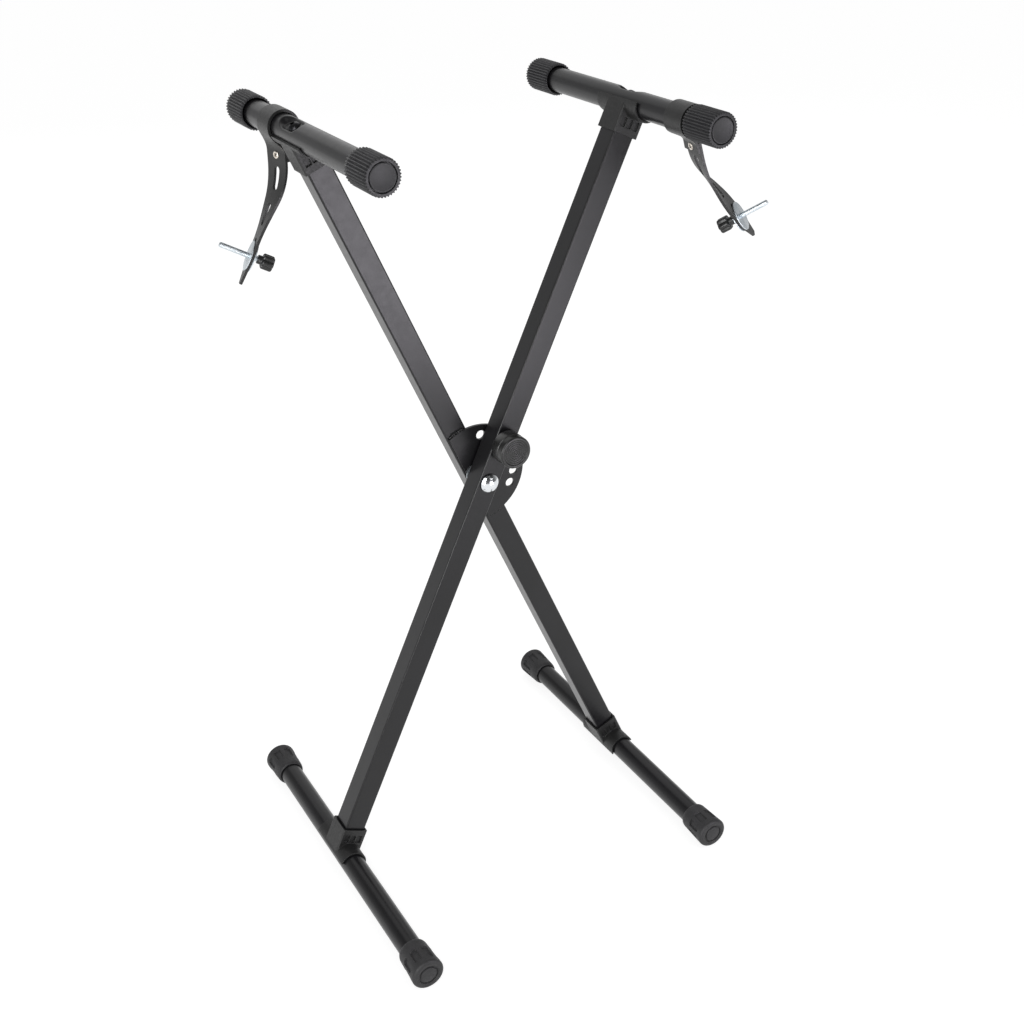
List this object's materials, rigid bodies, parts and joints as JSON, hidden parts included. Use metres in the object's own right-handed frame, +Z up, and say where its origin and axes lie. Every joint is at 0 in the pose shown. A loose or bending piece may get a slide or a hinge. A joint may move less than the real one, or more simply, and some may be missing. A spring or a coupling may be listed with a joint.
{
  "type": "folding keyboard stand",
  "caption": "Folding X-shaped stand: two crossed square legs on a pivot with a spring lock, round foot and arm tubes with rubber ends, and slotted hold-down straps.",
  "frame": {"origin": "middle of the stand's plan box, on the floor", "axes": "+Z up, +Y to the back along the foot and arm tubes, +X to the right across the X of the legs"},
  "size_m": [0.564, 0.503, 0.9379],
  "materials": {
    "coated_steel": "satin black powder coat, fine orange peel",
    "saddle_plastic": "matte moulded black plastic",
    "foot_rubber": "matte dark grey moulded rubber",
    "grip_rubber": "matte dark grey fluted rubber",
    "plug_plastic": "satin dark grey plastic",
    "strap_rubber": "black flexible rubber",
    "knob_plastic": "satin moulded black plastic",
    "bright_steel": "bright plated dome",
    "zinc_steel": "zinc plated",
    "glide_nylon": "natural nylon",
    "rivet_nickel": "nickel plated eyelet",
    "black_bolt": "black oxide"
  },
  "bodies": {
    "front_frame": {"front_leg": "coated_steel", "left_foot_tube": "coated_steel", "left_foot_saddle": "saddle_plastic", "left_foot_insert": "saddle_plastic", "left_foot_bolt": "black_bolt", "left_foot_cap_front": "foot_rubber", "left_foot_cap_rear": "foot_rubber", "right_arm_tube": "coated_steel", "right_arm_saddle": "saddle_plastic", "right_arm_insert": "saddle_plastic", "right_arm_bolt": "black_bolt", "right_arm_grip_front": "grip_rubber", "right_arm_grip_rear": "grip_rubber", "right_arm_plug_front": "plug_plastic", "right_arm_plug_rear": "plug_plastic", "pivot_bolt": "bright_steel", "pivot_washers": "zinc_steel", "pivot_nut": "zinc_steel", "pivot_glide": "zinc_steel", "pivot_spacer": "zinc_steel", "lock_housing": "zinc_steel", "lock_spring": "zinc_steel"},
    "rear_frame": {"rear_leg": "coated_steel", "right_foot_tube": "coated_steel", "right_foot_saddle": "saddle_plastic", "right_foot_insert": "saddle_plastic", "right_foot_bolt": "black_bolt", "right_foot_cap_front": "foot_rubber", "right_foot_cap_rear": "foot_rubber", "left_arm_tube": "coated_steel", "left_arm_saddle": "saddle_plastic", "left_arm_insert": "saddle_plastic", "left_arm_bolt": "black_bolt", "left_arm_grip_front": "grip_rubber", "left_arm_grip_rear": "grip_rubber", "left_arm_plug_front": "plug_plastic", "left_arm_plug_rear": "plug_plastic", "pivot_bushing": "glide_nylon", "lock_plate": "coated_steel", "plate_welds": "coated_steel"},
    "lock_pull": {"lock_knob": "knob_plastic", "lock_pin": "zinc_steel"},
    "left_hold_down": {"left_strap": "strap_rubber", "left_strap_rivet": "rivet_nickel", "left_strap_washers": "zinc_steel"},
    "left_thumbscrew": {"left_screw": "zinc_steel", "left_screw_knob": "knob_plastic"},
    "right_hold_down": {"right_strap": "strap_rubber", "right_strap_rivet": "rivet_nickel", "right_strap_washers": "zinc_steel"},
    "right_thumbscrew": {"right_screw": "zinc_steel", "right_screw_knob": "knob_plastic"}
  },
  "joints": [
    {"name": "fold", "type": "hinge", "parent": "front_frame", "child": "rear_frame", "pos_m": [-0.01561, 0, 0.49616], "axis": [0, -1, 0], "range_deg": [-18.5, 92.5]},
    {"name": "lock_draw", "type": "slide", "parent": "front_frame", "child": "lock_pull", "axis": [0, -1, 0], "range_m": [-0.0028, 0.008], "stiffness_N_per_m": 600, "springref_m": -0.0028, "deforming": ["lock_spring"]},
    {"name": "left_strap_swing", "type": "hinge", "parent": "rear_frame", "child": "left_hold_down", "pos_m": [-0.20655, 0.087, 0.91905], "axis": [0, 1, 0], "range_deg": [-60, 110]},
    {"name": "right_strap_swing", "type": "hinge", "parent": "front_frame", "child": "right_hold_down", "pos_m": [0.17534, -0.10745, 0.91905], "axis": [0, -1, 0], "range_deg": [-60, 110]},
    {"name": "left_screw_turn", "type": "hinge", "parent": "left_hold_down", "child": "left_thumbscrew", "pos_m": [-0.24954, 0.087, 0.78352], "axis": [-0.8603, 0.2504, 0.444], "continuous": true},
    {"name": "right_screw_turn", "type": "hinge", "parent": "right_hold_down", "child": "right_thumbscrew", "pos_m": [0.25709, -0.10745, 0.80272], "axis": [0.5475, -0.6361, 0.5437], "continuous": true}
  ]
}
